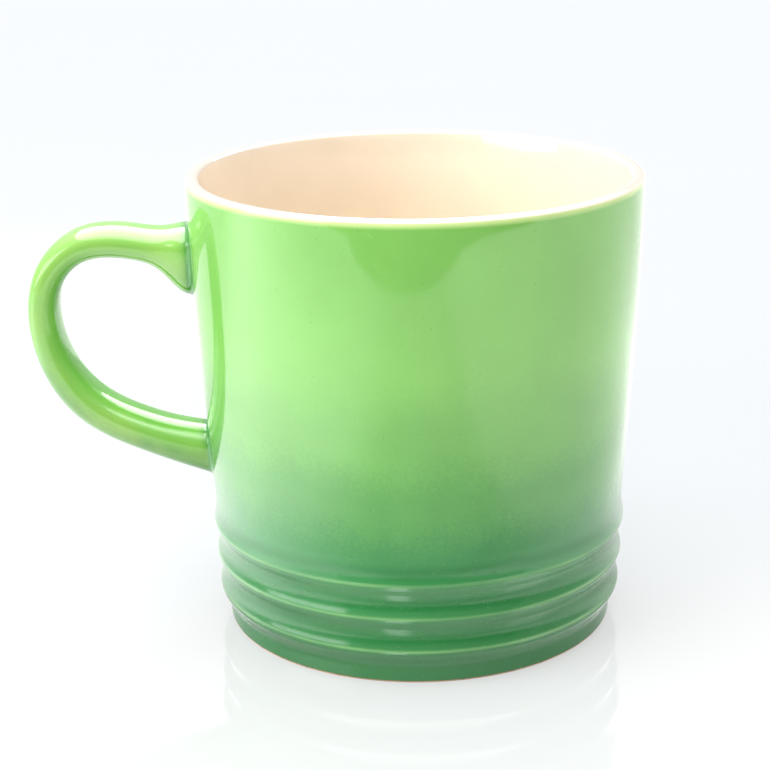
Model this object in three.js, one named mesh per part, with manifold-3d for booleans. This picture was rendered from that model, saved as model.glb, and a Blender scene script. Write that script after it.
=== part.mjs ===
// Banded stoneware mug with a loop handle, in millimetres, +Z up, standing on z = 0.
//
// The clay cup is turned: three flared bands ring its foot, and its wall leans out to a rounded
// lip. The handle is a separately cast loop that is stuck to the wall with two pads of slip.
// Three glazes cover the clay: a pale liner that rolls over the lip, a coloured coat outside,
// and a clear coat in the recess under the floor. Only the ring that the mug stands on is bare.
//
// The handle points to -X. The origin is on the ground, in the middle of the whole outline, so
// the axis of the cup lies at x = AXIS_X.

import * as THREE from 'three';
import { mergeVertices } from 'three/addons/utils/BufferGeometryUtils.js';
import Module from 'manifold-3d';

const wasm = await Module();
wasm.setup();

// ---------------------------------------------------------------- driving dimensions

const HEIGHT = 94.8;
const RIM_RADIUS = 46.4; // outside, at the top of the coloured glaze
const LIP_HEIGHT = 0.65; // pale lip above the coloured glaze
const LIP_RADIUS = 1.4; // half width of the rounded lip
const LIP_CROWN = 0.8; // half height of its oval section
const LIP_TAPER = 9; // the wall thins to the lip over this height
const WALL = 3.9; // glazed wall, inside to outside
const HANDLE_REACH = 80.3; // from the axis of the cup to the outside of the handle

const WAIST_RADIUS = 43.0; // outside, just above the bands
const WAIST_HEIGHT = 27.0;
const TAPER_POWER = 1.45; // the wall bows outwards a little

const BAND_COUNT = 3;
const BAND_PITCH = 7.1;
const TOP_CREST_HEIGHT = 21.7;
const TOP_CREST_RADIUS = 43.4;
const CREST_STEP = 0.4; // each band is this much smaller in radius than the one above
const CREST_NOSE = 0.4; // half height of a crest's rounded nose
const GROOVE_DEPTH = 1.1;
const FOOT_RADIUS = 40.7;

const FLOOR_TOP = 8.0; // glazed floor inside the cup
const FLOOR_FILLET = 9.0; // between the floor and the inside of the wall
const RECESS_RADIUS = 35.0; // hollow under the floor
const RECESS_DEPTH = 2.2;
const FOOT_CHAMFER = 0.4;
const BARE_FOOT = 0.9; // height of clay that the coloured coat leaves bare

const GLAZE = 0.5; // thickness of every coat
const COAT_GAP = 0.1; // between a coat and the clay under it
const CUT_GAP = 0.3; // between a piece and the neighbour that cuts it
const SLIP = 1.0; // thickness of the slip under a handle root

const HANDLE_HALF_WIDTH = 6.0;
const ROOT_SPREAD = 1.5; // extra half width of the upper root, at the wall
const ROOT_WEB = 6.6; // extra thickness of the upper root under the handle
const ROOT_RISE = 1.2; // extra thickness of the upper root over the handle
const ROOT_REACH = 4.8; // how far the upper root's swelling runs out along the handle

const TURN_STEPS = 48;
const HANDLE_STEPS = 40;
const HANDLE_SIDES = 12;

const AXIS_X = (HANDLE_REACH - RIM_RADIUS) / 2;
const COAT_TOP = HEIGHT - LIP_HEIGHT;

// Centreline of the handle, from the upper root round to the lower one:
// distance from the axis of the cup, and height.
const HANDLE_LINE = [
  [42.5, 79.7],
  [48.0, 79.6],
  [54.0, 80.0],
  [60.5, 80.9],
  [69.6, 79.6],
  [75.55, 73.4],
  [77.1, 65.4],
  [75.2, 55.9],
  [67.6, 45.4],
  [58.3, 40.4],
  [51.5, 38.0],
  [41.0, 35.3],
];

// Half thickness of the handle along that line, as [fraction of its length, size].
const HANDLE_THICKNESS = [
  [0, 3.3],
  [0.25, 3.4],
  [0.42, 3.2],
  [0.55, 3.4],
  [0.7, 3.95],
  [0.85, 4.2],
  [1, 5.4],
];

// ---------------------------------------------------------------- outlines of the cup

const point = (radius, height) => new THREE.Vector2(radius, height);

// Outside radius of the glazed wall above the bands.
function wallRadius(height) {
  const drop = (COAT_TOP - height) / (COAT_TOP - WAIST_HEIGHT);
  return RIM_RADIUS - (RIM_RADIUS - WAIST_RADIUS) * Math.max(0, drop) ** TAPER_POWER;
}

// Heights from one value to another in equal steps, both ends included.
function ladder(from, to, steps) {
  return Array.from({ length: steps + 1 }, (_, i) => from + ((to - from) * i) / steps);
}

// One flared band: the rounded nose of its crest, the step in below it and, unless it is the
// last one, the flare that runs down and out to the next crest.
function bandOutline(index) {
  const crest = TOP_CREST_RADIUS - CREST_STEP * index;
  const height = TOP_CREST_HEIGHT - BAND_PITCH * index;
  const last = index === BAND_COUNT - 1;
  const groove = last ? FOOT_RADIUS - 0.2 : crest - GROOVE_DEPTH;
  const nose = [
    point(crest - 0.12, height + CREST_NOSE),
    point(crest, height),
    point(crest - 0.25, height - CREST_NOSE),
    point(groove + 0.25, height - 2 * CREST_NOSE),
    point(groove, height - 4 * CREST_NOSE),
  ];
  if (last) return nose;
  const flareTop = height - 4 * CREST_NOSE;
  const flareFoot = height - BAND_PITCH + CREST_NOSE;
  const next = crest - CREST_STEP - 0.12;
  const flare = [0.45, 0.75].map((t) =>
    point(groove + (next - groove) * t ** 1.8, flareTop + (flareFoot - flareTop) * t),
  );
  return [...nose, ...flare];
}

// The outside of the cup from the top of the coloured coat down to its lower edge.
function outside() {
  const wall = ladder(COAT_TOP, WAIST_HEIGHT, 5).map((h) => point(wallRadius(h), h));
  const waist = point(WAIST_RADIUS + 0.03, (WAIST_HEIGHT + TOP_CREST_HEIGHT) / 2);
  const bands = ladder(0, BAND_COUNT - 1, BAND_COUNT - 1).flatMap(bandOutline);
  return [...wall, waist, ...bands, point(FOOT_RADIUS, BARE_FOOT)];
}

// The lip, as an arc from the outside of the wall over the top to the inside.
// depth shrinks the arc, so that the clay runs under its glaze.
function lip(depth) {
  const centre = point(RIM_RADIUS - LIP_RADIUS, HEIGHT - LIP_CROWN);
  const start = Math.asin(1 - LIP_HEIGHT / LIP_CROWN);
  const crown = Math.PI / 2;
  const angles = [...ladder(start, crown, 3), ...ladder(crown, Math.PI * 0.95, 3).slice(1)];
  const width = LIP_RADIUS - depth;
  const rise = LIP_CROWN - depth;
  return angles.map((a) => point(centre.x + width * Math.cos(a), centre.y + rise * Math.sin(a)));
}

// The inside of the cup from below the lip to the middle of the floor.
function inside(depth) {
  const innerRadius = (height) => wallRadius(height) - WALL + depth;
  const fillet = FLOOR_FILLET + depth;
  const filletTop = FLOOR_TOP + FLOOR_FILLET;
  const corner = point(innerRadius(filletTop) - fillet, filletTop);
  const wall = ladder(COAT_TOP - LIP_TAPER, filletTop + 8, 2).map((h) => point(innerRadius(h), h));
  const curve = ladder(0, -Math.PI / 2, 5).map((a) =>
    point(corner.x + fillet * Math.cos(a), corner.y + fillet * Math.sin(a)),
  );
  return [...wall, ...curve, point(0, FLOOR_TOP - depth)];
}

const inwards = (depth) => (p) => point(p.x - depth, p.y);

// ---------------------------------------------------------------- solids

// A turned piece. Its outline runs down the outside first, and closes on itself or on the axis.
function turned(outline) {
  return new THREE.LatheGeometry([...outline].reverse(), TURN_STEPS).rotateX(Math.PI / 2);
}

// The part of the handle that lies depth below its glazed surface. A straight bar with an oval
// section is drawn out along the centreline and swollen to the size that each place has.
function handleBar(depth) {
  const line = new THREE.SplineCurve(HANDLE_LINE.map(([r, z]) => point(r, z)));
  const sizes = new THREE.SplineCurve(HANDLE_THICKNESS.map(([s, size]) => point(s, size)));
  const section = ladder(0, 2 * Math.PI, HANDLE_SIDES)
    .slice(0, -1)
    .map((a) => point(roundedPower(Math.cos(a)), roundedPower(Math.sin(a))));
  const bar = new THREE.ExtrudeGeometry(new THREE.Shape(section), {
    depth: 1,
    steps: HANDLE_STEPS,
    bevelEnabled: false,
  });
  const vertices = bar.attributes.position;
  for (let i = 0; i < vertices.count; i++) {
    const along = THREE.MathUtils.clamp(vertices.getZ(i), 0, 1);
    const centre = line.getPointAt(along);
    const tangent = line.getTangentAt(along);
    const swell = along < 0.5 ? Math.exp(-(((centre.x - RIM_RADIUS) / ROOT_REACH) ** 2)) : 0;
    const width = HANDLE_HALF_WIDTH + ROOT_SPREAD * swell - depth;
    const side = vertices.getY(i) > 0 ? ROOT_WEB : ROOT_RISE;
    const thickness = heightAt(sizes, along) + side * swell - depth;
    const out = vertices.getY(i) * thickness;
    // The centreline lies in the plane y = 0 and runs out towards -X.
    vertices.setXYZ(
      i,
      -(centre.x + tangent.y * out),
      vertices.getX(i) * width,
      centre.y - tangent.x * out,
    );
  }
  return bar;
}

// Squares an oval section up a little: a cosine or sine raised to less than 1, with its sign.
function roundedPower(value) {
  return Math.sign(value) * Math.abs(value) ** 0.85;
}

// The height of a curve over a place on its baseline.
function heightAt(curve, along) {
  let low = 0;
  let high = 1;
  for (let i = 0; i < 20; i++) {
    const middle = (low + high) / 2;
    if (curve.getPoint(middle).x < along) low = middle;
    else high = middle;
  }
  return curve.getPoint(low).y;
}

// Everything within the outside of the cup, grown by some thickness. It cuts the handle's ends.
function cupCore(grow) {
  const wall = outside().map((p) => point(p.x + grow, p.y));
  const top = [point(0, HEIGHT + 20), point(RIM_RADIUS + grow, HEIGHT + 20)];
  const foot = [point(FOOT_RADIUS + grow, -20), point(0, -20)];
  return solid(turned([...top, ...wall, ...foot]));
}

// A closed mesh as a manifold solid.
function solid(geometry) {
  geometry.deleteAttribute('normal');
  geometry.deleteAttribute('uv');
  const welded = mergeVertices(geometry, 1e-4);
  const corners = Array.from(welded.index.array);
  const triangles = [];
  for (let i = 0; i < corners.length; i += 3) {
    const [a, b, c] = corners.slice(i, i + 3);
    if (a !== b && b !== c && c !== a) triangles.push(a, b, c);
  }
  const mesh = new wasm.Mesh({
    numProp: 3,
    vertProperties: new Float32Array(welded.attributes.position.array),
    triVerts: new Uint32Array(triangles),
  });
  return new wasm.Manifold(mesh);
}

// A manifold solid as a mesh's geometry.
function geometryOf(manifold) {
  const { vertProperties, triVerts, numProp } = manifold.getMesh();
  const geometry = new THREE.BufferGeometry();
  geometry.setAttribute('position', new THREE.BufferAttribute(vertProperties, numProp));
  geometry.setIndex(new THREE.BufferAttribute(triVerts, 1));
  geometry.computeVertexNormals();
  return geometry;
}

// ---------------------------------------------------------------- pieces

// Fired clay: wall, floor and foot ring in one.
function cupBody() {
  const depth = GLAZE + COAT_GAP;
  const foot = [
    point(FOOT_RADIUS - depth, FOOT_CHAMFER),
    point(FOOT_RADIUS - depth - FOOT_CHAMFER, 0),
    point(RECESS_RADIUS + FOOT_CHAMFER, 0),
    point(RECESS_RADIUS, RECESS_DEPTH),
    point(0, RECESS_DEPTH),
  ];
  const [shoulder, ...crown] = lip(depth);
  const inner = [...crown, ...inside(depth)];
  const wall = outside().map(inwards(depth));
  wall[0].y = shoulder.y; // so that the clay stays under the pale lip
  return turned([...inner.reverse(), ...wall, ...foot]);
}

// Pale coat over the inside and the lip.
function linerGlaze() {
  const face = [...lip(0), ...inside(0)];
  const back = [...lip(GLAZE), ...inside(GLAZE)].reverse();
  return turned([...face.reverse(), ...back.reverse()]);
}

// Coloured coat over the outside, open where the two handle roots pass through it.
function outerGlaze() {
  const edge = outside();
  edge[0] = point(edge[0].x, edge[0].y - COAT_GAP);
  const shell = solid(turned([...edge, ...edge.map(inwards(GLAZE)).reverse(), edge[0]]));
  return geometryOf(shell.subtract(solid(handleBar(-CUT_GAP))));
}

// Coat in the recess under the floor.
function recessGlaze() {
  const radius = RECESS_RADIUS - CUT_GAP;
  const top = RECESS_DEPTH - COAT_GAP;
  return turned([point(0, top), point(radius, top), point(radius, top - GLAZE), point(0, top - GLAZE)]);
}

// Cast loop, its two ends hollowed to sit round the wall.
function handle() {
  const start = CUT_GAP + SLIP + CUT_GAP - GLAZE - COAT_GAP;
  return geometryOf(solid(handleBar(GLAZE + COAT_GAP)).subtract(cupCore(start)));
}

// Coloured coat round the handle: a sleeve that is open at both roots.
function handleGlaze() {
  const sleeve = solid(handleBar(0)).subtract(solid(handleBar(GLAZE)));
  return geometryOf(sleeve.subtract(cupCore(CUT_GAP)));
}

// The two pads of slip between the wall and the handle's ends, upper one first.
function slipPads() {
  const start = CUT_GAP - GLAZE - COAT_GAP;
  const layer = cupCore(start + SLIP).subtract(cupCore(start));
  const pads = layer.intersect(solid(handleBar(GLAZE + COAT_GAP))).decompose();
  const top = (pad) => pad.boundingBox().max[2];
  return pads.sort((a, b) => top(b) - top(a)).map(geometryOf);
}

// ---------------------------------------------------------------- assembly

const finish = (color, roughness) =>
  new THREE.MeshStandardMaterial({ color, roughness, metalness: 0 });

const [upperPad, lowerPad] = slipPads();

const pieces = [
  ['cup_body', cupBody(), finish(0xc9a582, 0.85)],
  ['handle', handle(), finish(0xc9a582, 0.85)],
  ['upper_handle_joint', upperPad, finish(0xb8906c, 0.9)],
  ['lower_handle_joint', lowerPad, finish(0xb8906c, 0.9)],
  ['liner_glaze', linerGlaze(), finish(0xf9e6cc, 0.12)],
  ['outer_glaze', outerGlaze(), finish(0x4fb04a, 0.1)],
  ['handle_glaze', handleGlaze(), finish(0x72bd4a, 0.1)],
  ['recess_glaze', recessGlaze(), finish(0x8f9c66, 0.15)],
];

const mug = new THREE.Group();
for (const [name, geometry, material] of pieces) {
  const mesh = new THREE.Mesh(geometry, material);
  mesh.name = name;
  mesh.position.x = AXIS_X;
  mug.add(mesh);
}

export default mug;
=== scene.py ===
"""The looks of a banded stoneware mug with a loop handle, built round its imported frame.

Metres, +Z up. The mug stands on z = 0 and its handle points to -X. Clay, slip and glaze are
separate pieces that lie one over another, as they are fired. Distances called radius are from
the upright axis of the cup, at x = AXIS_X. An angle round the cup is 0 at +X.
"""

import math

import bmesh
import bpy
import numpy as np
from mathutils import Matrix, Vector


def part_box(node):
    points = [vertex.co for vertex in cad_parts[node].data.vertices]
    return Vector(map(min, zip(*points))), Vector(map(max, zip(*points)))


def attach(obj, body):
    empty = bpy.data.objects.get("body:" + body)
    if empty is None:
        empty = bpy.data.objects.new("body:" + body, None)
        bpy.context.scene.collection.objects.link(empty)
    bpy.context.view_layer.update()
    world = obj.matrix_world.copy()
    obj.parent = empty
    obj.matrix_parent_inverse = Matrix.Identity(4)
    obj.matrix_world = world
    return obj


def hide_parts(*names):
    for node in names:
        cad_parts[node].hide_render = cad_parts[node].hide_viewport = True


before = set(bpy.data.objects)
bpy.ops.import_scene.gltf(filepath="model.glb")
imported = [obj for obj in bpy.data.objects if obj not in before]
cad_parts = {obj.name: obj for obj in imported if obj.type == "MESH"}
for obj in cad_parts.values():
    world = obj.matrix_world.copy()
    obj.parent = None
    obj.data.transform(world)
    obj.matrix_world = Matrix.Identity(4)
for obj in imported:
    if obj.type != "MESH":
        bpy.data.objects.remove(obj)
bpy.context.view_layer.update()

# ------------------------------------------------------------------ sizes

MM = 0.001

outer_low, outer_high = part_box("outer_glaze")
liner_low, liner_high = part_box("liner_glaze")
recess_low, recess_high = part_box("recess_glaze")

AXIS_X = (outer_low.x + outer_high.x) / 2
HEIGHT = liner_high.z
RIM_RADIUS = (outer_high.x - outer_low.x) / 2
FLOOR_TOP = liner_low.z + (recess_high.z - recess_low.z)
RECESS_TOP = recess_high.z + 0.1 * MM

LIP_HEIGHT = 0.65 * MM  # from the top of the coloured coat
LIP_HALF_WIDTH = 1.4 * MM  # of its oval section
LIP_HALF_HEIGHT = 0.8 * MM
COAT_TOP = HEIGHT - LIP_HEIGHT
WALL = 3.9 * MM
LIP_TAPER = 14 * MM  # the wall thins to the lip over this height
FLOOR_FILLET = 9.0 * MM

WAIST_RADIUS = 43.0 * MM  # where the wall meets the bands
WAIST_HEIGHT = 27.0 * MM
TAPER_POWER = 1.45  # 1 would make the wall straight

BAND_COUNT = 3
BAND_PITCH = 7.1 * MM
TOP_CREST_HEIGHT = 21.7 * MM
TOP_CREST_RADIUS = 43.55 * MM  # before its nose is rounded
CREST_STEP = 0.4 * MM  # each crest is that much smaller than the one above
GROOVE_DEPTH = 1.2 * MM
GROOVE_STEP = 0.44  # share of the pitch under a crest in which the wall steps in
FLARE_START = 0.45  # share of the pitch at which it starts to flare to the next crest
TOP_FLARE = 0.5  # share of the pitch above the top crest at which the wall starts to flare to it
FLARE_POWER = 1.8
FOOT_STEP = 0.62  # share of the pitch in which the wall steps in to the foot
NOSE_ROUNDING = 0.42 * MM
FOOT_RADIUS = 40.7 * MM
FOOT_LINE = 0.3 * MM  # where the coloured glaze ends above the ground
RECESS_RADIUS = 35.0 * MM

GLAZE = 0.5 * MM
COAT_GAP = 0.1 * MM
CLAY_DEPTH = GLAZE + COAT_GAP  # of the clay under the glazed surface
THIN_LINE = 0.3 * MM  # half width of the thin glaze over a crest
POOL_RISE = 2.6 * MM  # from a crest up to the middle of the pooled glaze
POOL_HALF_HEIGHT = 1.4 * MM
THIN_EDGE = 1.2 * MM  # the coloured coat thins out over this height at its top
BEAD = 0.28 * MM  # rounds its lower edge
SLIP_START = -0.3 * MM  # from the outside of the wall to the slip pads
SLIP_END = 0.7 * MM
HANDLE_START = 1.0 * MM

HANDLE_HALF_WIDTH = 6.0 * MM
ROOT_SPREAD = 1.5 * MM  # what the upper root gains at each side
ROOT_WEB = 6.6 * MM  # what it gains below
ROOT_RISE = 1.2 * MM  # what it gains above
ROOT_REACH = 4.8 * MM  # how far from the wall the gain fades
SEAM_FILLET = 1.1 * MM  # glaze that fills the corner between handle and wall
SQUARENESS = 0.78  # 1 makes the bar's section an oval, 0 a rectangle

# What the kiln did to the cup, at the rim.
OVALNESS = 0.10 * MM
THREE_SIDEDNESS = 0.05 * MM
FINGER_MARKS = 0.012 * MM
OUT_OF_LEVEL = 0.20 * MM

TURN_STEPS = 256
AROUND_HANDLE = 112

# Centreline of the handle from the upper root round to the lower one: radius and height in
# millimetres. The thickness is half the bar's depth: share of its length and millimetres.
HANDLE_LINE = [
    (42.5, 79.7),
    (48.0, 79.6),
    (54.0, 80.0),
    (60.5, 80.9),
    (69.6, 79.6),
    (75.55, 73.4),
    (77.1, 65.4),
    (75.2, 55.9),
    (67.6, 45.4),
    (58.3, 40.4),
    (51.5, 38.0),
    (41.0, 35.3),
]
HANDLE_THICKNESS = [
    (0, 3.3),
    (0.25, 3.4),
    (0.42, 3.2),
    (0.55, 3.4),
    (0.7, 3.95),
    (0.85, 4.2),
    (1, 5.4),
]


# ------------------------------------------------------------------ curves

def smooth_curve(points, count):
    """count points, equally far apart, on the cubic spline through the given ones."""
    points = np.array(points, float)
    gaps = np.linalg.norm(np.diff(points, axis=0), axis=1)
    knots = np.concatenate([[0], np.cumsum(gaps)])
    slopes = np.diff(points, axis=0) / gaps[:, None]
    system = np.eye(len(points))
    bends = np.zeros_like(points)
    for i in range(1, len(points) - 1):
        system[i, i - 1 : i + 2] = gaps[i - 1], 2 * (gaps[i - 1] + gaps[i]), gaps[i]
        bends[i] = 6 * (slopes[i] - slopes[i - 1])
    bends = np.linalg.solve(system, bends)

    places = np.linspace(0, knots[-1], 12 * count)
    i = np.clip(np.searchsorted(knots, places, side="right") - 1, 0, len(gaps) - 1)
    gap = gaps[i][:, None]
    after = (places - knots[i])[:, None] / gap
    before = 1 - after
    curve = before * points[i] + after * points[i + 1]
    curve += ((before**3 - before) * bends[i] + (after**3 - after) * bends[i + 1]) * gap**2 / 6

    length = np.concatenate([[0], np.cumsum(np.linalg.norm(np.diff(curve, axis=0), axis=1))])
    even = np.linspace(0, length[-1], count)
    return np.stack([np.interp(even, length, curve[:, k]) for k in (0, 1)], axis=1)


def rounded(values, step, size):
    """A row of values, step apart, with its corners rounded off by a bell curve of that size."""
    reach = int(3 * size / step) + 1
    bell = np.exp(-0.5 * (np.arange(-reach, reach + 1) * step / size) ** 2)
    padded = np.pad(values, reach, mode="edge")
    return np.convolve(padded, bell / bell.sum(), mode="valid")


def smoothstep(value):
    value = np.clip(value, 0, 1)
    return value * value * (3 - 2 * value)


def arc(centre, radius, start, end, steps):
    """Points on an arc of an outline, with angles in degrees from the outward direction."""
    angles = np.radians(np.linspace(start, end, steps + 1))
    return np.stack([centre[0] + radius * np.cos(angles), centre[1] + radius * np.sin(angles)], axis=1)


def column(radii, heights):
    """Points of an outline from their radii and heights."""
    return np.stack(np.broadcast_arrays(radii, heights), axis=1)


def corners(radius, height, *steps):
    """Points of an outline, each (inwards, upwards) millimetres from that radius and height."""
    return np.array([(radius - inwards * MM, height + upwards * MM) for inwards, upwards in steps])


def between(outline, low, high):
    """The points of an outline whose heights lie between low and high."""
    heights = outline[:, 1]
    return outline[(heights > low) & (heights < high)]


# ------------------------------------------------------------------ outlines of the cup

def wall_radius(height):
    """Outside radius of the glazed wall above the bands."""
    drop = np.clip((COAT_TOP - height) / (COAT_TOP - WAIST_HEIGHT), 0, None)
    return RIM_RADIUS - (RIM_RADIUS - WAIST_RADIUS) * drop**TAPER_POWER


def band_radius(height):
    """Outside radius of the bands: under each crest the wall steps in, then flares to the next."""
    fall = (TOP_CREST_HEIGHT - height) / BAND_PITCH
    band = np.clip(np.floor(fall), 0, BAND_COUNT - 1)
    part = fall - band
    crest = TOP_CREST_RADIUS - CREST_STEP * (band + np.clip(part, 0, 1))
    flare = np.clip((part - FLARE_START) / (1 - FLARE_START), 0, 1) ** FLARE_POWER
    hollow = smoothstep(part / GROOVE_STEP) * (1 - flare)
    last_crest = TOP_CREST_RADIUS - CREST_STEP * (BAND_COUNT - 1)
    foot = last_crest - (last_crest - FOOT_RADIUS) * smoothstep(part / FOOT_STEP)
    top_flare = np.clip(1 + fall / TOP_FLARE, 0, 1) ** FLARE_POWER
    waist = WAIST_RADIUS + (TOP_CREST_RADIUS - WAIST_RADIUS) * top_flare
    ringed = np.where(band < BAND_COUNT - 1, crest - GROOVE_DEPTH * hollow, foot)
    return np.where(fall < 0, waist, ringed)


def outside(wall_steps, band_steps):
    """The outside of the cup as an outline, from the top of the coloured coat down to the foot."""
    wall_heights = np.linspace(COAT_TOP, WAIST_HEIGHT, wall_steps, endpoint=False)
    wall = column(wall_radius(wall_heights), wall_heights)
    fine_heights = np.linspace(WAIST_HEIGHT, 0, 1000)
    fine = rounded(band_radius(fine_heights), fine_heights[0] - fine_heights[1], NOSE_ROUNDING)
    band_heights = np.linspace(WAIST_HEIGHT, 0, band_steps)
    bands = column(np.interp(-band_heights, -fine_heights, fine), band_heights)
    return np.concatenate([wall, bands])


def outside_radius(heights):
    """Outside radius at any heights, for what sits on the wall."""
    outline = outside(60, 200)
    return np.interp(heights, outline[::-1, 1], outline[::-1, 0])


def inside(depth, wall_steps, fillet_steps):
    """The inside of the cup, from under the lip to the middle of the floor."""
    fillet = FLOOR_FILLET + depth
    fillet_top = FLOOR_TOP + FLOOR_FILLET
    heights = np.linspace(COAT_TOP - 1 * MM, fillet_top, wall_steps, endpoint=False)
    taper = (WALL - 2 * LIP_HALF_WIDTH) * np.clip(1 - (COAT_TOP - heights) / LIP_TAPER, 0, 1) ** 2
    wall = column(wall_radius(heights) - WALL + taper + depth, heights)
    corner = (wall_radius(fillet_top) - WALL + depth - fillet, fillet_top)
    floor = column(np.linspace(corner[0], 0, 24)[1:], FLOOR_TOP - depth)
    return np.concatenate([wall, arc(corner, fillet, 0, -90, fillet_steps), floor])


def lip(depth, steps):
    """The lip, as an oval arc from the outside of the wall over the top to the inside."""
    start = math.asin(1 - LIP_HEIGHT / LIP_HALF_HEIGHT)
    end = math.radians(172)
    angles = np.linspace(start, end, steps + 1)
    radii = RIM_RADIUS - LIP_HALF_WIDTH + (LIP_HALF_WIDTH - depth) * np.cos(angles)
    return column(radii, HEIGHT - LIP_HALF_HEIGHT + (LIP_HALF_HEIGHT - depth) * np.sin(angles))


# ------------------------------------------------------------------ meshes

def settled(points):
    """Points of the fired mug. In the kiln the cup went a little out of round and out of level."""
    x, y, z = points[..., 0], points[..., 1], points[..., 2]
    radius = np.hypot(x, y)
    angle = np.arctan2(y, x)
    rise = z / HEIGHT
    share = np.clip(radius / RIM_RADIUS, 0, 1) ** 2
    oval = OVALNESS * rise * np.cos(2 * angle + 0.7)
    three_sided = THREE_SIDEDNESS * np.cos(3 * angle - 1.1 + 2.4 * rise)
    finger_marks = FINGER_MARKS * np.sin(11 * angle + 9 * rise) * np.sin(23 * rise + 1.3)
    push = oval + three_sided + finger_marks
    lift = OUT_OF_LEVEL * rise**3 * (np.cos(angle + 3.0) - 0.4)
    grow = 1 + share * push / np.maximum(radius, MM)
    return np.stack([AXIS_X + x * grow, y * grow, z + share * lift * (z > MM)], axis=-1)


def grid_piece(name, points, closed, marks):
    """A piece from rows of points that run round a ring. marks are numbers kept at each point."""
    rows, columns = points.shape[:2]
    corner = np.arange(rows * columns).reshape(rows, columns)
    below = np.roll(corner, -1, axis=0)
    if not closed:
        corner, below = corner[:-1], below[:-1]
    beside, below_beside = np.roll(corner, -1, axis=1), np.roll(below, -1, axis=1)
    faces = np.stack([corner, below, below_beside, beside], axis=-1)

    mesh = bpy.data.meshes.new(name)
    mesh.from_pydata(settled(points).reshape(-1, 3).tolist(), [], faces.reshape(-1, 4).tolist())
    for mark, values in marks.items():
        layer = mesh.attributes.new(mark, "FLOAT", "POINT")
        values = np.broadcast_to(values, (rows, columns)).astype(np.float32)
        layer.data.foreach_set("value", values.ravel())
    close_up(mesh)
    mesh.shade_smooth()
    return new_object(name, mesh)


def new_object(name, data):
    """An object that holds a mesh, a light or a camera, in the scene."""
    thing = bpy.data.objects.new(name, data)
    bpy.context.scene.collection.objects.link(thing)
    return thing


def close_up(mesh):
    """Makes the points that lie on the axis one, and turns the faces outwards."""
    shape = bmesh.new()
    shape.from_mesh(mesh)
    bmesh.ops.remove_doubles(shape, verts=shape.verts, dist=1e-7)
    bmesh.ops.recalc_face_normals(shape, faces=shape.faces)
    shape.to_mesh(mesh)
    shape.free()


def turned(name, outline, closed=True, **marks):
    """A piece turned round the axis of the cup."""
    angles = np.linspace(0, 2 * np.pi, TURN_STEPS, endpoint=False)
    radius, height = outline[:, :1], outline[:, 1:]
    places = np.broadcast_arrays(radius * np.cos(angles), radius * np.sin(angles), height)
    marks = {mark: values[:, None] for mark, values in marks.items()}
    return grid_piece(name, np.stack(places, axis=-1), closed, marks)


def place(piece, slot, material, *nodes):
    """Puts a finished piece on the mug in the place of its CAD nodes."""
    piece.data.materials.append(material)
    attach(piece, "root")
    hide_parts(*nodes)


# ------------------------------------------------------------------ pieces of the cup

def near(heights, centres, size):
    """How near heights are to any of the centres, from 0 to 1."""
    return np.clip(sum(np.exp(-(((heights - centre) / size) ** 2)) for centre in centres), 0, 1)


CREST_HEIGHTS = [TOP_CREST_HEIGHT - BAND_PITCH * i for i in range(BAND_COUNT)]


def outer_coat():
    """The coloured coat. It is thin over the crests and at its upper edge, and pools between."""
    top = corners(RIM_RADIUS, COAT_TOP, (0.45, 0.12), (0.2, 0.16), (0.08, 0.06), (0.02, -0.06))
    face = between(outside(56, 190), FOOT_LINE + 0.3 * MM, COAT_TOP - 0.2 * MM)
    foot = arc((FOOT_RADIUS - BEAD, FOOT_LINE + BEAD), BEAD, 0, -140, 7)
    back = between(outside(20, 60), FOOT_LINE + 0.5 * MM, COAT_TOP - 0.2 * MM)[::-1]
    back = column(back[:, 0] - GLAZE, back[:, 1])
    outline = np.concatenate([top, face, foot, back])

    heights = outline[:, 1]
    thin = near(heights, [crest + 0.05 * MM for crest in CREST_HEIGHTS], THIN_LINE)
    pool = near(heights, [crest + POOL_RISE for crest in CREST_HEIGHTS], POOL_HALF_HEIGHT)
    edge = np.clip(1 - (COAT_TOP - heights) / THIN_EDGE, 0, 1) ** 1.9
    piece = turned("outer_coat", outline, thin=thin, pool=pool, edge=edge)
    place(piece, "coloured_glaze", cup_glaze(), "outer_glaze")


def liner_coat():
    """The pale coat over the inside and the lip."""
    skirt = corners(RIM_RADIUS, COAT_TOP, (0.1, -0.5), (0.06, -0.2))
    face = np.concatenate([skirt, lip(0, 22), inside(0, 44, 16)])
    back_skirt = corners(RIM_RADIUS, COAT_TOP, (0.5, -0.5))
    back = np.concatenate([back_skirt, lip(GLAZE, 14), inside(GLAZE, 24, 10)])
    edge = np.zeros(len(face) + len(back))
    edge[: len(skirt) + 1] = 1  # where the coloured coat meets it
    piece = turned("liner_coat", np.concatenate([face, back[::-1]]), closed=False, edge=edge)
    place(piece, "liner_glaze", liner_glaze(), "liner_glaze")


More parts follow.
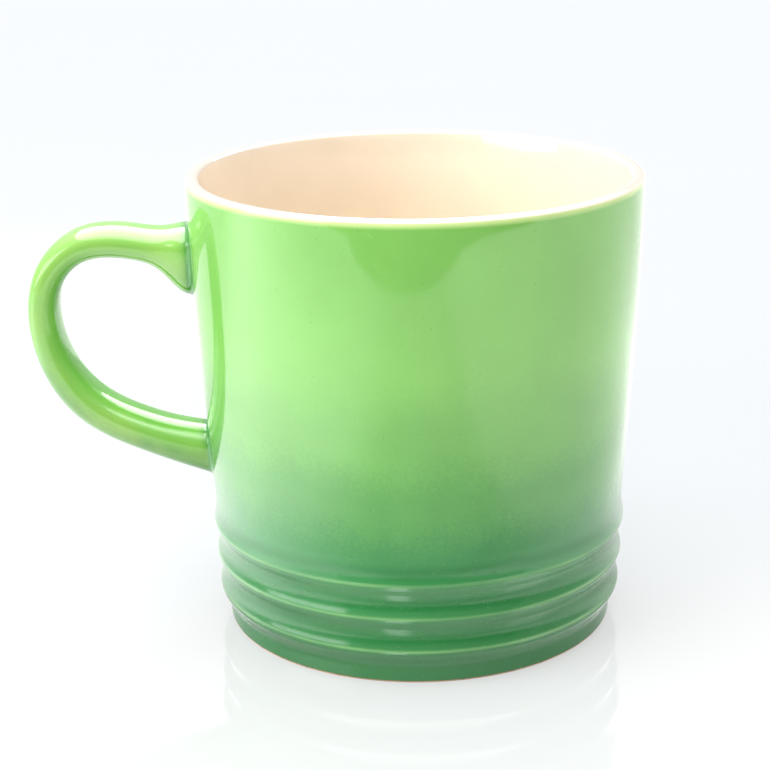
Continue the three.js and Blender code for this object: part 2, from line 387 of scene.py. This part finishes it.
def clay_cup():
    """The fired clay under the coats, bare only where it stands."""
    wall = between(outside(24, 60), FOOT_LINE + 0.9 * MM, COAT_TOP)
    wall = column(wall[:, 0] - CLAY_DEPTH, wall[:, 1])
    bare = corners(FOOT_RADIUS, FOOT_LINE, (0.5, 0.5), (0.25, 0.3), (0.15, 0.1))
    edge = arc((FOOT_RADIUS - 0.4 * MM, 0.25 * MM), 0.25 * MM, 0, -90, 6)
    inner_edge = arc((RECESS_RADIUS + 0.5 * MM, 0.4 * MM), 0.4 * MM, -90, -170, 5)
    cove = arc((RECESS_RADIUS - 0.8 * MM, RECESS_TOP - 0.7 * MM), 0.7 * MM, 10, 90, 6)
    ceiling = column(np.linspace(RECESS_RADIUS - 1.5 * MM, 0, 20), RECESS_TOP)
    inner = np.concatenate([lip(CLAY_DEPTH, 12), inside(CLAY_DEPTH, 24, 10)])
    outline = np.concatenate([inner[::-1], wall, bare, edge, inner_edge, cove, ceiling])
    place(turned("clay_cup", outline, closed=False), "stoneware", bare_clay(), "cup_body")


def recess_coat():
    """The coat in the hollow under the floor."""
    radius = RECESS_RADIUS - 0.6 * MM
    top = RECESS_TOP - COAT_GAP
    bottom = top - GLAZE
    dish = np.linspace(radius - 0.4 * MM, 0, 36)
    swirl = 0.05 * MM * np.cos(dish / (1.9 * MM)) * smoothstep(dish / (12 * MM))  # turning marks
    upper = column(np.linspace(0, radius - 0.2 * MM, 12), top)
    edge = arc((radius - 0.4 * MM, bottom + 0.3 * MM), 0.3 * MM, 40, -80, 6)
    face = column(dish, bottom + swirl)
    piece = turned("recess_coat", np.concatenate([upper, edge, face]), closed=False)
    place(piece, "clear_glaze", foot_glaze(), "recess_glaze")


# ------------------------------------------------------------------ handle

class Bar:
    """The handle's bar. Its surface is told by place along the bar and angle round it."""

    def __init__(self):
        line = smooth_curve(np.array(HANDLE_LINE) * MM, 900)
        run = 40  # makes the curve of the thickness a flat one
        thickness = smooth_curve(np.array(HANDLE_THICKNESS) * (run, 1), 200)
        self.along = np.linspace(0, 1, len(line))
        self.line = line
        self.tangent = np.gradient(line, axis=0)
        self.tangent /= np.linalg.norm(self.tangent, axis=1)[:, None]
        self.thickness = np.interp(self.along, thickness[:, 0] / run, thickness[:, 1]) * MM

    def at(self, values, along):
        """Values kept along the centreline, read at any places along the bar."""
        return np.interp(along, self.along, values)

    def surface(self, along, angle, depth=0.0, share=1.0):
        """Points depth under the glazed surface, or on a section shrunk to a share of that."""
        radius, height = self.at(self.line[:, 0], along), self.at(self.line[:, 1], along)
        out_r, out_z = self.at(self.tangent[:, 1], along), -self.at(self.tangent[:, 0], along)
        swell = np.where(along < 0.5, np.exp(-(((radius - RIM_RADIUS) / ROOT_REACH) ** 2)), 0)
        across, inwards = rounded_power(np.cos(angle)), rounded_power(np.sin(angle))
        side = np.where(inwards > 0, ROOT_WEB, ROOT_RISE)
        width = HANDLE_HALF_WIDTH + ROOT_SPREAD * swell - depth
        out = inwards * (self.at(self.thickness, along) + side * swell - depth) * share
        return np.stack([-(radius + out_r * out), across * width * share, height + out_z * out], axis=-1)

    def reach(self, angle, distance, lower, depth=0.0, share=1.0):
        """Place along the bar where its surface is that far from the wall, at either root."""
        inner = np.full(np.broadcast(angle, share).shape, 1.0 if lower else 0.0)
        outer = np.full(inner.shape, 0.75 if lower else 0.25)
        for _ in range(26):
            middle = (inner + outer) / 2
            beyond = wall_distance(self.surface(middle, angle, depth, share)) > distance
            inner = np.where(beyond, inner, middle)
            outer = np.where(beyond, middle, outer)
        return (inner + outer) / 2


def rounded_power(value):
    """Squares an oval section up a little."""
    return np.sign(value) * np.abs(value) ** SQUARENESS


def wall_distance(points):
    """Distance of points from the outside of the wall."""
    return np.hypot(points[..., 0], points[..., 1]) - outside_radius(points[..., 2])


def handle_angles():
    return np.linspace(0, 2 * np.pi, AROUND_HANDLE, endpoint=False)


def handle_coat(bar):
    """The coloured coat round the handle, a sleeve whose two ends run out on the wall."""
    angle = handle_angles()
    first, last = [bar.reach(angle, SEAM_FILLET, lower) for lower in (False, True)]
    steps = np.linspace(0, 1, 200)[:, None]
    steps = smoothstep(steps) * 0.5 + steps * 0.5  # closer together at the roots
    face = bar.surface(first + (last - first) * steps, angle)
    upper, lower = run_out(face[0], face[1]), run_out(face[-1], face[-2])
    first, last = [bar.reach(angle, -0.2 * MM, lower_root, GLAZE) for lower_root in (False, True)]
    inner = bar.surface(first + (last - first) * np.linspace(1, 0, 70)[:, None], angle, GLAZE)
    points = np.concatenate([upper[::-1], face[1:-1], lower, inner])

    face_start, face_end = len(upper), len(upper) + len(face) - 2
    thin = np.zeros(len(points))
    thin[face_start : face_end + 2] = 1
    thin = thin[:, None] * np.abs(np.cos(angle)) ** 3
    pool = np.zeros(len(points))
    pool[:face_start] = 1
    pool[face_end : face_end + len(lower)] = 1
    pool = rounded(pool, 1.0, 3.0)[:, None]
    # The pooled mark also carries painted shade on the underside of the bar.
    marks = {"thin": thin, "pool": np.clip(pool + painted_underside_shade(points), 0, 1)}
    piece = grid_piece("handle_coat", points, True, marks)
    place(piece, "coloured_glaze", handle_glaze(), "handle_glaze")


def painted_underside_shade(points):
    """Painted shade on the underside of the bar, most of all in its lower half."""
    heights = points[..., 2]
    middle = heights.mean(axis=1)[:, None]
    under = np.clip((middle - heights) / (2 * MM) + 0.4, 0, 1)
    return under * (0.3 + 0.7 * smoothstep((62 * MM - heights) / (15 * MM)))


def run_out(edge, before):
    """The fillet from an edge of the bar's face onto the wall, and a skirt under its surface."""
    towards = edge - before
    towards /= np.linalg.norm(towards, axis=-1)[:, None]
    corner = edge.copy()
    for _ in range(12):
        corner = corner + towards * wall_distance(corner)[:, None]
    middle = edge.mean(axis=0)
    outwards = corner - middle
    normal = np.stack([corner[:, 0], corner[:, 1], np.zeros(len(corner))], axis=-1)
    normal /= np.linalg.norm(normal, axis=-1)[:, None]
    outwards -= normal * (outwards * normal).sum(axis=-1)[:, None]
    outwards /= np.linalg.norm(outwards, axis=-1)[:, None]
    foot = corner + outwards * SEAM_FILLET
    foot -= normal * wall_distance(foot)[:, None]
    rows = []
    for share in np.linspace(0, 1, 11):
        rows.append((1 - share) ** 2 * edge + 2 * share * (1 - share) * corner + share**2 * foot)
    rows.append(foot + outwards * 0.05 * MM - normal * 0.12 * MM)
    rows.append(foot - outwards * 0.3 * MM - normal * 0.3 * MM)
    return np.array(rows)


def clay_bar(bar, name, start, end):
    """A closed length of clay in the bar. start and end are (lower root, distance from the wall)."""
    angle = handle_angles()[None, :]
    shares = np.linspace(0, 1, 9)[:, None]
    ends, caps = [], []
    for lower, distance in (start, end):
        ends.append(bar.reach(angle, distance, lower, CLAY_DEPTH))
        edge = bar.reach(angle, distance, lower, CLAY_DEPTH, shares)
        caps.append(bar.surface(edge, angle, CLAY_DEPTH, shares))
    steps = np.linspace(0, 1, 100 if start[0] != end[0] else 6)[:, None]
    side = bar.surface(ends[0] + (ends[1] - ends[0]) * steps, angle, CLAY_DEPTH)
    points = np.concatenate([caps[0], side[1:-1], caps[1][::-1]])
    return grid_piece(name, points, False, {})


def handle():
    """The clay handle, its coat, and the slip that joins it to the wall."""
    bar = Bar()
    handle_coat(bar)
    clay = clay_bar(bar, "clay_handle", (False, HANDLE_START), (True, HANDLE_START))
    place(clay, "stoneware", bare_clay(), "handle")
    for name, lower in (("upper", False), ("lower", True)):
        pad = clay_bar(bar, f"{name}_slip_pad", (lower, SLIP_START), (lower, SLIP_END))
        place(pad, "slip", slip_clay(), f"{name}_handle_joint")


# ------------------------------------------------------------------ materials

class Shader:
    """The nodes of one material or of the world."""

    def __init__(self, tree):
        self.tree = tree
        self.tree.nodes.clear()

    def node(self, kind, inputs, output=0, **settings):
        """Adds a node. inputs are its sockets by name or number, each a value or another's output."""
        node = self.tree.nodes.new(kind)
        for name, value in settings.items():
            setattr(node, name, value)
        for name, value in inputs.items():
            if isinstance(value, bpy.types.NodeSocket):
                self.tree.links.new(value, node.inputs[name])
            else:
                node.inputs[name].default_value = value
        return node.outputs[output] if node.outputs else None

    def math(self, operation, *values, clamp=False):
        inputs = dict(enumerate(values))
        return self.node("ShaderNodeMath", inputs, operation=operation, use_clamp=clamp)

    def spread(self, value, low, high, to_low=0.0, to_high=1.0, smooth=True):
        """value from low to high, made into a number from to_low to to_high."""
        inputs = {0: value, 1: low, 2: high, 3: to_low, 4: to_high}
        kind = "SMOOTHSTEP" if smooth else "LINEAR"
        return self.node("ShaderNodeMapRange", inputs, interpolation_type=kind)

    def mix(self, share, first, second):
        """Two colours mixed, with that share of the second."""
        inputs = {0: share, 6: opaque(first), 7: opaque(second)}
        return self.node("ShaderNodeMix", inputs, output=2, data_type="RGBA")

    def noise(self, place, size, detail=2.0, roughness=0.5, stretch=None):
        """Noise from 0 to 1 with blotches of that size in metres."""
        if stretch:
            place = self.node("ShaderNodeMapping", {"Vector": place, "Scale": stretch})
        inputs = {"Vector": place, "Scale": 1 / size, "Detail": detail, "Roughness": roughness}
        return self.node("ShaderNodeTexNoise", inputs)

    def dots(self, place, spacing, radius, share):
        """Round soft dots of that radius, in a share of the cells of a loose grid."""
        cells = self.tree.nodes.new("ShaderNodeTexVoronoi")
        self.tree.links.new(place, cells.inputs["Vector"])
        cells.inputs["Scale"].default_value = 1 / spacing
        inside = self.spread(cells.outputs["Distance"], radius / spacing, 0.5 * radius / spacing)
        pick = self.node("ShaderNodeSeparateColor", {0: cells.outputs["Color"]})
        return self.math("MULTIPLY", inside, self.math("LESS_THAN", pick, share))

    def place(self):
        return self.node("ShaderNodeTexCoord", {}, output=3)

    def mark(self, name):
        return self.node("ShaderNodeAttribute", {}, output=2, attribute_name=name)

    def parts(self, place):
        """x, y and z of a place."""
        split = self.tree.nodes.new("ShaderNodeSeparateXYZ")
        self.tree.links.new(place, split.inputs[0])
        return tuple(split.outputs)

    def height(self, place):
        return self.parts(place)[2]

    def ramp(self, value, stops):
        """A colour from (position, colour) stops."""
        node = self.tree.nodes.new("ShaderNodeValToRGB")
        ramp = node.color_ramp
        ramp.interpolation = "EASE"
        while len(ramp.elements) < len(stops):
            ramp.elements.new(0.5)
        for element, (position, colour) in zip(ramp.elements, stops):
            element.position = position
            element.color = (*colour, 1)
        self.tree.links.new(value, node.inputs[0])
        return node.outputs[0]

    def bump(self, *layers):
        """A normal from layers of (height, depth in metres)."""
        normal = None
        for height, depth in layers:
            inputs = {"Height": height, "Distance": depth, "Strength": 1.0}
            if normal:
                inputs["Normal"] = normal
            normal = self.node("ShaderNodeBump", inputs)
        return normal


def opaque(colour):
    """A colour of three numbers with its alpha, or the socket that was given."""
    return (*colour, 1) if isinstance(colour, tuple) else colour


def new_shader(name):
    material = bpy.data.materials.new(name)
    material.use_nodes = True
    return material, Shader(material.node_tree)


def surface(shader, **inputs):
    """Ends a material with a Principled shader."""
    named = {name.replace("_", " "): value for name, value in inputs.items()}
    shader.node("ShaderNodeOutputMaterial", {0: shader.node("ShaderNodeBsdfPrincipled", named)})


# The cup's greens from the bands up, and the handle's from its lower arm up.
DARK_GREEN = (0.032, 0.168, 0.048)
BAND_TOP_GREEN = tuple(1.33 * value for value in DARK_GREEN)
MIDDLE_GREEN = (0.101, 0.310, 0.078)
UPPER_GREEN = (0.158, 0.396, 0.091)
LIGHT_GREEN = (0.188, 0.450, 0.092)
HANDLE_GREENS = [(0.3, (0.165, 0.430, 0.070)), (0.9, (0.215, 0.495, 0.095))]

THIN_GREEN = (0.185, 0.400, 0.140)  # over the crests of the bands
OLIVE_GREEN = (0.250, 0.420, 0.085)  # along the sides of the handle
# Where the glaze pools, and on the handle also painted shade under the bar.
POOLED_AND_SHADE_GREEN = (0.014, 0.155, 0.034)
EDGE_GREEN = (0.66, 0.76, 0.33)  # where the coloured glaze thins out over the pale one
LIGHT_SPECK = (0.40, 0.62, 0.22)
DARK_SPECK = (0.02, 0.12, 0.03)

# Painted shade: the cream is warmer and darker low in the cup.
DEEP_SHADED_CREAM = (0.74, 0.635, 0.455)
CREAM = (0.77, 0.655, 0.525)
# Painted shade: the lip is darker than the cream.
SHADED_LIP_CREAM = (0.50, 0.44, 0.375)
CREAM_SPECK = (0.45, 0.30, 0.16)

SPRAY_DROPS = 0.75 * MM


def cup_glaze():
    """Two green glazes sprayed one over the other: light above, dark on the bands."""
    material, shader = new_shader("sprayed_green_glaze")
    place = shader.place()
    drops = shader.noise(place, SPRAY_DROPS, detail=3, roughness=0.65)
    clouds = shader.noise(place, 17 * MM, detail=2)
    level = shader.height(place)
    spray = shader.math("MULTIPLY", shader.math("SUBTRACT", drops, 0.5), 9 * MM)
    drift = shader.math("MULTIPLY", shader.math("SUBTRACT", clouds, 0.5), 7 * MM)
    level = shader.math("ADD", shader.math("ADD", level, spray), drift)
    share = shader.math("DIVIDE", level, HEIGHT)
    stops = [  # (share of the height, colour)
        (0.05, DARK_GREEN),
        (0.27, BAND_TOP_GREEN),
        (0.40, MIDDLE_GREEN),
        (0.54, UPPER_GREEN),
        (0.70, LIGHT_GREEN),
        (1.00, LIGHT_GREEN),
    ]
    colour = shader.mix(shader.mark("edge"), shader.ramp(share, stops), EDGE_GREEN)
    finish_glaze(shader, place, colour, drops, clouds, THIN_GREEN)
    return material


def handle_glaze():
    """The light green glaze alone."""
    material, shader = new_shader("light_green_glaze")
    place = shader.place()
    drops = shader.noise(place, SPRAY_DROPS, detail=3, roughness=0.65)
    clouds = shader.noise(place, 11 * MM, detail=2)
    share = shader.math("DIVIDE", shader.height(place), HEIGHT)
    colour = shader.ramp(share, HANDLE_GREENS)
    finish_glaze(shader, place, colour, drops, clouds, OLIVE_GREEN)
    return material


def finish_glaze(shader, place, colour, drops, clouds, thin_colour):
    """Thin and pooled places, painted shade, specks, unevenness and gloss of a coloured glaze."""
    # Darker where the glaze pools, and on the handle also painted shade under the bar.
    pool = shader.math("MULTIPLY", shader.mark("pool"), 0.75)
    colour = shader.mix(pool, colour, POOLED_AND_SHADE_GREEN)
    ragged = shader.spread(clouds, 0.3, 0.7, 0.25, 0.7)
    thin = shader.math("MULTIPLY", shader.mark("thin"), ragged)
    colour = shader.mix(thin, colour, thin_colour)
    light_specks = shader.dots(place, spacing=0.7 * MM, radius=0.12 * MM, share=0.25)
    colour = shader.mix(shader.math("MULTIPLY", light_specks, 0.25), colour, LIGHT_SPECK)
    dark_specks = shader.dots(place, spacing=1.3 * MM, radius=0.19 * MM, share=0.16)
    colour = shader.mix(shader.math("MULTIPLY", dark_specks, 0.3), colour, DARK_SPECK)
    tone = shader.spread(clouds, 0.25, 0.75, 0.95, 1.05, smooth=False)
    colour = shader.node("ShaderNodeHueSaturation", {"Color": colour, "Value": tone})

    peel = shader.noise(place, 3.5 * MM, detail=1)
    pits = shader.spread(shader.noise(place, 1.1 * MM, detail=0), 0.26, 0.2)
    normal = shader.bump((peel, 0.010 * MM), (pits, -0.01 * MM))
    duller_low = shader.spread(shader.height(place), 45 * MM, 20 * MM, 0.05, 0.14)
    roughness = shader.math("ADD", duller_low, shader.spread(drops, 0.3, 0.7, 0.0, 0.04))
    surface(shader, Base_Color=colour, Roughness=roughness, IOR=1.5, Normal=normal)


def liner_glaze():
    """Glossy cream with painted shade, warmer and darker low in the cup and darker on the lip, faintly
    brushed round the wall.
    """
    material, shader = new_shader("cream_glaze")
    place = shader.place()
    clouds = shader.noise(place, 14 * MM, detail=3)
    rings = shader.noise(place, 6 * MM, detail=2, stretch=(0.3, 0.3, 3.0))
    level = shader.height(place)
    # Painted shade: warmer and darker low in the cup.
    colour = shader.mix(shader.spread(level, 40 * MM, HEIGHT - 1.5 * MM), DEEP_SHADED_CREAM, CREAM)
    # Painted shade: darker on the lip.
    lip_shade = shader.spread(level, HEIGHT - 0.7 * MM, HEIGHT - 0.3 * MM)
    colour = shader.mix(lip_shade, colour, SHADED_LIP_CREAM)
    tone = shader.math("ADD", shader.spread(clouds, 0.3, 0.7, -0.02, 0.02), 1.0)
    colour = shader.node("ShaderNodeHueSaturation", {"Color": colour, "Value": tone})
    edge = shader.math("MULTIPLY", shader.mark("edge"), 0.7)
    colour = shader.mix(edge, colour, EDGE_GREEN)
    specks = shader.dots(place, spacing=2.4 * MM, radius=0.22 * MM, share=0.12)
    colour = shader.mix(shader.math("MULTIPLY", specks, 0.3), colour, CREAM_SPECK)
    normal = shader.bump((shader.noise(place, 4 * MM, detail=1), 0.010 * MM), (rings, 0.01 * MM))
    roughness = shader.spread(clouds, 0.3, 0.7, 0.06, 0.11)
    surface(shader, Base_Color=colour, Roughness=roughness, Normal=normal)
    return material


def foot_glaze():
    """Thin clear coat over the clay, with small pinholes."""
    material, shader = new_shader("clear_glaze_on_clay")
    place = shader.place()
    clouds = shader.noise(place, 9 * MM, detail=3)
    colour = shader.mix(clouds, (0.66, 0.52, 0.36), (0.78, 0.66, 0.50))
    holes = shader.spread(shader.noise(place, 1.2 * MM, detail=0), 0.25, 0.2)
    colour = shader.mix(holes, colour, (0.25, 0.15, 0.08))
    normal = shader.bump((shader.noise(place, 3 * MM, detail=1), 0.015 * MM), (holes, -0.03 * MM))
    surface(shader, Base_Color=colour, Roughness=0.16, Normal=normal)
    return material


def clay(name, light, dark, roughness):
    """Unglazed fired clay with grog specks and a sandy surface."""
    material, shader = new_shader(name)
    place = shader.place()
    grain = shader.noise(place, 0.5 * MM, detail=4, roughness=0.7)
    clouds = shader.noise(place, 6 * MM, detail=3)
    colour = shader.mix(shader.spread(clouds, 0.3, 0.7), dark, light)
    specks = shader.spread(shader.noise(place, 0.8 * MM, detail=0), 0.7, 0.76)
    colour = shader.mix(specks, colour, (0.12, 0.06, 0.03))
    normal = shader.bump((grain, 0.05 * MM))
    roughness = shader.spread(grain, 0.3, 0.7, roughness - 0.1, roughness)
    surface(shader, Base_Color=colour, Roughness=roughness, Normal=normal)
    return material


def bare_clay():
    """The clay of the cup and the handle."""
    return clay("fired_clay", (0.50, 0.33, 0.20), (0.36, 0.22, 0.13), 0.85)


def slip_clay():
    """The slip of the two joints, a little darker."""
    return clay("fired_slip", (0.42, 0.27, 0.17), (0.30, 0.18, 0.11), 0.9)


# ------------------------------------------------------------------ studio

def white_floor():
    """A wide glossy white sheet that glows a little as painted light, more in front and at the left."""
    size = 6.0
    sheet = [(-size, -size, 0), (size, -size, 0), (size, size, 0), (-size, size, 0)]
    mesh = bpy.data.meshes.new("table_top")
    mesh.from_pydata(sheet, [], [(0, 1, 2, 3)])
    floor = new_object("table_top", mesh)
    material, shader = new_shader("white_table")
    place = shader.place()
    waves = shader.noise(place, 60 * MM, detail=1)
    x, y, _ = shader.parts(place)
    # Painted light: the sheet glows, more in front of the mug and more at its left.
    glow = shader.spread(y, -0.05, 0.15, 0.51, 0.37)
    painted_left_light = shader.spread(x, AXIS_X - 0.045, AXIS_X - 0.14, 0.0, 0.35)
    not_far = shader.spread(y, 0.40, 0.10)
    glow = shader.math("ADD", glow, shader.math("MULTIPLY", painted_left_light, not_far))
    warm_front, cool_back = (0.970, 0.960, 0.955), (0.94, 0.965, 1.0)
    colour = shader.mix(shader.spread(y, -0.03, 0.08), warm_front, cool_back)
    surface(
        shader,
        Base_Color=(0.24, 0.243, 0.247, 1),
        Roughness=0.06,
        Normal=shader.bump((waves, 0.02 * MM)),
        Emission_Color=colour,
        Emission_Strength=glow,
    )
    mesh.materials.append(material)


# Where the pale table ends in front of the mug, as only the glaze shows it: x and y in metres from
# the cup's axis.
TABLE_EDGE = [
    (-0.33, -0.37),
    (-0.19, -0.33),
    (-0.15, -0.30),
    (-0.09, -0.283),
    (0.02, -0.283),
    (0.09, -0.30),
    (0.13, -0.325),
    (0.19, -0.325),
    (0.36, -0.24),
]


def card(name, points, faces, strength):
    """A card that shows only in reflections and from its front. strength makes its brightness."""
    mesh = bpy.data.meshes.new(name)
    mesh.from_pydata(points, [], faces)
    piece = new_object(name, mesh)
    material, shader = new_shader(name)
    brightness = strength(shader, shader.place())
    light = shader.node("ShaderNodeEmission", {"Color": (1, 1, 1, 1), "Strength": brightness})
    clear = shader.node("ShaderNodeBsdfTransparent", {})
    from_behind = shader.node("ShaderNodeNewGeometry", {}, output=6)
    one_sided = shader.node("ShaderNodeMixShader", {0: from_behind, 1: light, 2: clear})
    shader.node("ShaderNodeOutputMaterial", {0: one_sided})
    mesh.materials.append(material)
    for ray in ("camera", "diffuse", "transmission", "volume_scatter", "shadow"):
        setattr(piece, f"visible_{ray}", False)


def even(strength):
    """A brightness that is the same all over a card."""
    return lambda shader, place: strength


def dark_room():
    """What lies beyond the table in front of the mug: a dark floor and a low dark wall."""
    lift, far, top = 0.6 * MM, 1.5, 0.30
    near_edge, far_edge, upper_edge = [], [], []
    for x, y in TABLE_EDGE:
        stretch = far / math.hypot(x, y)
        near_edge.append((AXIS_X + x, y, lift))
        far_edge.append((AXIS_X + x * stretch, y * stretch, lift))
        upper_edge.append((AXIS_X + x * stretch, y * stretch, top))
    count = len(near_edge)
    faces = []
    for row in (0, count):
        for i in range(row, row + count - 1):
            faces.append((i, i + count, i + 1 + count, i + 1))
    card("dark_room", near_edge + far_edge + upper_edge, faces, even(0.06))


def lit_table():
    """The table as the glaze mirrors it: brighter at the sides, most of all at the left."""
    sides, inner_radius, outer_radius, lift = 48, 0.048, 2.0, 0.4 * MM
    angles = np.linspace(0, 2 * np.pi, sides, endpoint=False)
    points = []
    for radius in (inner_radius, outer_radius):
        points += [(AXIS_X + radius * math.cos(a), radius * math.sin(a), lift) for a in angles]
    faces = []
    for i in range(sides):
        after = (i + 1) % sides
        faces.append((i, sides + i, sides + after, after))

    card("lit_table", points, faces, table_strength)


def table_strength(shader, place):
    """How bright the mirrored table is. Distances are in metres from the cup's axis."""
    x, y, _ = shader.parts(place)
    inputs = {0: place, 1: (AXIS_X, 0, 0)}
    distance = shader.node("ShaderNodeVectorMath", inputs, output=1, operation="DISTANCE")
    level = shader.spread(distance, 0.12, 0.20, 0.9, 1.5)

    left = shader.spread(y, -0.28, -0.02, 0.4, 2.8)
    left = shader.math("MULTIPLY", left, shader.spread(y, 0.12, -0.03, 0.0, 1.0))
    left = shader.math("MULTIPLY", left, shader.spread(x, AXIS_X - 0.03, AXIS_X - 0.10))

    right = shader.spread(distance, 0.10, 0.28, 1.0, 0.55)
    right = shader.math("MULTIPLY", right, shader.spread(y, 0.25, 0.13, 0.3, 1.0))
    right = shader.math("MULTIPLY", right, shader.spread(x, AXIS_X + 0.05, AXIS_X + 0.09))

    wide = shader.math("ADD", level, left)
    return shader.math("ADD", wide, shader.math("ADD", right, foot_glints(shader, x, y, distance)))


# Bright spots of the table close to the foot, which make the glints on the bands: angle from
# straight ahead and half width, both in radians, and brightness.
FOOT_GLINTS = [
    (-0.14, 0.11, 2.6),
    (0.75, 0.25, 0.9),
]


def foot_glints(shader, x, y, distance):
    """How bright the table is close to the foot in front of the mug."""
    sideways, ahead = shader.math("SUBTRACT", x, AXIS_X), shader.math("MULTIPLY", y, -1.0)
    around = shader.math("ARCTAN2", sideways, ahead)
    glints = []
    for towards, width, glow in FOOT_GLINTS:
        off = shader.math("ABSOLUTE", shader.math("SUBTRACT", around, towards))
        glints.append(shader.spread(off, width, 0.3 * width, 0.0, glow))
    strength = shader.math("ADD", 0.5, shader.math("ADD", *glints))
    strength = shader.math("MULTIPLY", strength, shader.spread(distance, 0.088, 0.07))
    return shader.math("MULTIPLY", strength, shader.spread(y, 0.0, -0.03))


def table_line():
    """A bright line across the table, at the right in front of the mug."""
    start, end = Vector((0.121, -0.126)), Vector((0.257, -0.258))
    half_width, lift = 4 * MM, 0.8 * MM
    side = (end - start).orthogonal().normalized() * half_width
    spots = (start - side, end - side, end + side, start + side)
    card("table_line", [(AXIS_X + spot.x, spot.y, lift) for spot in spots], [(0, 1, 2, 3)], even(2.2))


def soft_box():
    """The box over the mug, from well above the horizon behind it to right overhead."""
    half, (low_y, low_z), (high_y, high_z) = 0.42, (0.85, 0.52), (-1.20, 0.80)
    low_edge = [(AXIS_X - half, low_y, low_z), (AXIS_X + half, low_y, low_z)]
    high_edge = [(AXIS_X + half, high_y, high_z), (AXIS_X - half, high_y, high_z)]

    def strength(shader, place):
        y = shader.parts(place)[1]
        return shader.spread(y, -1.1, -0.05, 1.5, 9.5)

    card("soft_box", low_edge + high_edge, [(0, 1, 2, 3)], strength)


def side_strip():
    """A low bright strip at the left, seen in the handle's shoulder."""
    distance, middle = 1.1, (AXIS_X - 0.05, 0.07)
    spots = []
    for around, above in ((-88, 0), (-38, 8), (-38, 30), (-88, 20)):
        angle, slope = math.radians(around), math.tan(math.radians(above))
        x, y = middle[0] + distance * math.sin(angle), -distance * math.cos(angle)
        spots.append((x, y, middle[1] + distance * slope))
    card("side_strip", spots, [(3, 2, 1, 0)], even(6.0))


def area_light(name, place, width, height, radiance, tint=(1, 1, 1)):
    """A light of even brightness, pointed at the mug, that isn't seen itself or in the glaze."""
    data = bpy.data.lights.new(name, "AREA")
    data.shape = "RECTANGLE"
    data.size, data.size_y = width, height
    data.energy = radiance * math.pi * width * height
    data.color = tint
    light = new_object(name, data)
    light.location = place
    direction = Vector((AXIS_X, 0, 0.05)) - light.location
    light.rotation_euler = direction.to_track_quat("-Z", "Y").to_euler()
    light.visible_camera = False
    light.visible_glossy = False


def lights():
    """Three lights: over and behind the mug, at its left, and a small one in front."""
    area_light("over_behind", (AXIS_X - 0.1, 0.10, 0.90), 1.2, 1.0, 2.6)
    area_light("left", (AXIS_X - 0.78, -0.42, 0.62), 0.8, 0.8, 4.4, (0.95, 0.98, 1))
    area_light("front_window", (AXIS_X - 0.17, -1.2, 0.72), 0.16, 0.20, 14.0)


def sky():
    """Soft light from all round, brightest overhead and dim near the horizon in front."""
    world = bpy.data.worlds.new("studio")
    bpy.context.scene.world = world
    world.use_nodes = True
    shader = Shader(world.node_tree)
    direction = shader.node("ShaderNodeTexCoord", {}, output=0)
    _, back, up = shader.parts(direction)
    level = shader.spread(back, -0.8, 0.5, 0.43, 0.86)
    overhead = shader.spread(up, 0.35, 0.6, 0.0, 0.7)
    strength = shader.math("ADD", level, overhead)
    light = shader.node("ShaderNodeBackground", {"Color": (0.96, 0.98, 1, 1), "Strength": strength})
    shader.node("ShaderNodeOutputWorld", {0: light})


def camera():
    """In front of the mug and above its rim, tilted down, with a long lens."""
    distance, height = 0.3888, 0.1735
    yaw, pitch, roll = -0.0172, 0.3101, -0.0174  # radians
    data = bpy.data.cameras.new("camera")
    data.sensor_width = 36
    data.lens = 90.92
    data.clip_start, data.clip_end = 0.01, 50
    view = new_object("camera", data)
    turn = Matrix.Rotation(-yaw, 4, "Z")
    tilt = Matrix.Rotation(math.pi / 2 - pitch, 4, "X") @ Matrix.Rotation(roll, 4, "Z")
    view.matrix_world = Matrix.Translation((AXIS_X, -distance, height)) @ turn @ tilt
    bpy.context.scene.camera = view


# ------------------------------------------------------------------ scene

clay_cup()
liner_coat()
outer_coat()
recess_coat()
handle()

white_floor()
dark_room()
lit_table()
table_line()
soft_box()
side_strip()
lights()
sky()
camera()
bpy.context.scene.view_settings.view_transform = "Standard"
